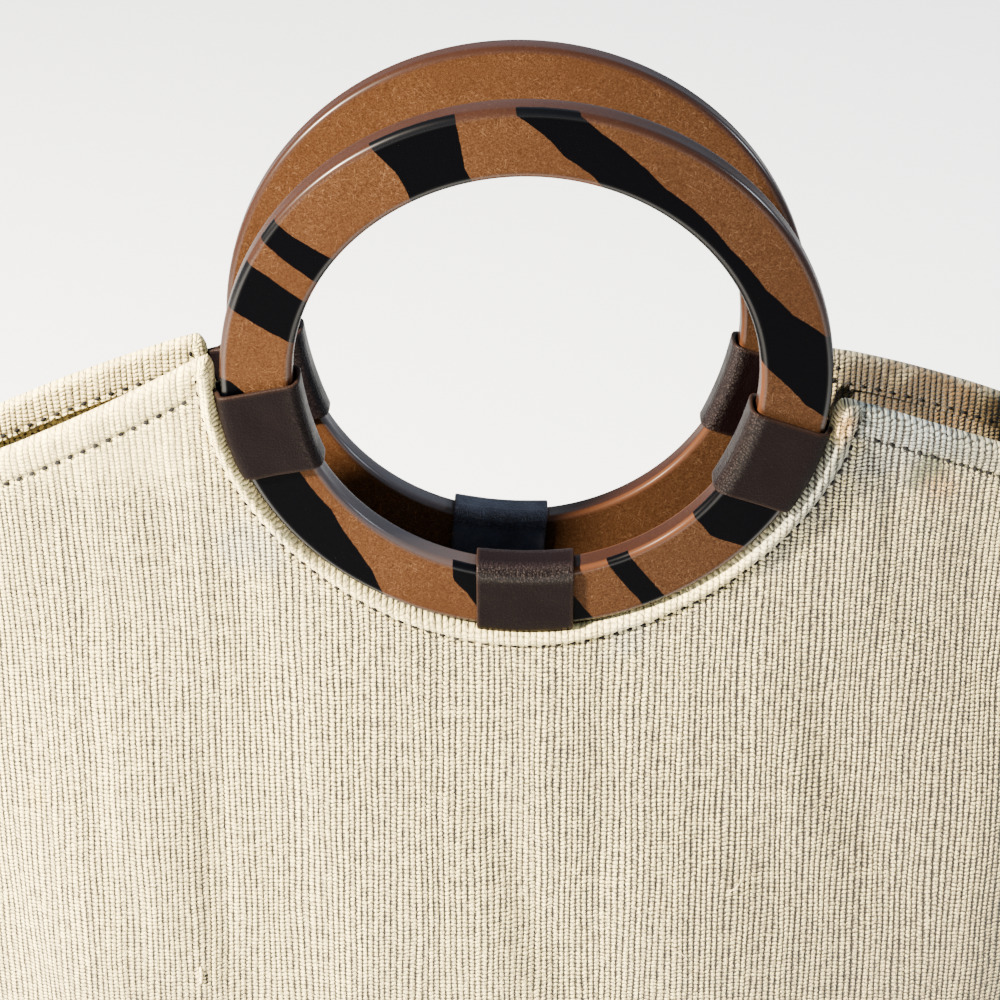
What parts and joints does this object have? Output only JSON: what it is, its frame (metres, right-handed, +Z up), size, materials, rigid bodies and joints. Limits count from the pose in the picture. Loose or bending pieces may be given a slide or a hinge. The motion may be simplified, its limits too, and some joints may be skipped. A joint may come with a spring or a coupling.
{
  "type": "canvas handbag with wooden ring handles",
  "caption": "Open-topped ribbed canvas bag with flat wooden ring handles held by leather straps.",
  "frame": {"origin": "on the floor under the middle of the bag", "axes": "+Z up, +X to the bag's right as its front is seen, -Y towards the front"},
  "size_m": [0.3974, 0.1001, 0.4125],
  "materials": {
    "canvas": "ribbed, unbleached cotton",
    "wood": "stained brown, lacquered, with black painted stripes outside",
    "leather": "smooth dark brown"
  },
  "bodies": {
    "bag": {"canvas_front": "canvas", "canvas_back": "canvas", "strap_front_left": "leather", "strap_front_middle": "leather", "strap_front_right": "leather", "strap_back_left": "leather", "strap_back_middle": "leather", "strap_back_right": "leather"},
    "front_handle": {"handle_front": "wood"},
    "back_handle": {"handle_back": "wood"}
  },
  "joints": [
    {"name": "front_handle_turn", "type": "hinge", "parent": "bag", "child": "front_handle", "pos_m": [0, -0.02, 0.33], "axis": [0, 0.9986, 0.0523], "continuous": true},
    {"name": "back_handle_turn", "type": "hinge", "parent": "bag", "child": "back_handle", "pos_m": [-0.0025, 0.02, 0.326], "axis": [0, 0.9986, -0.0523], "continuous": true}
  ]
}
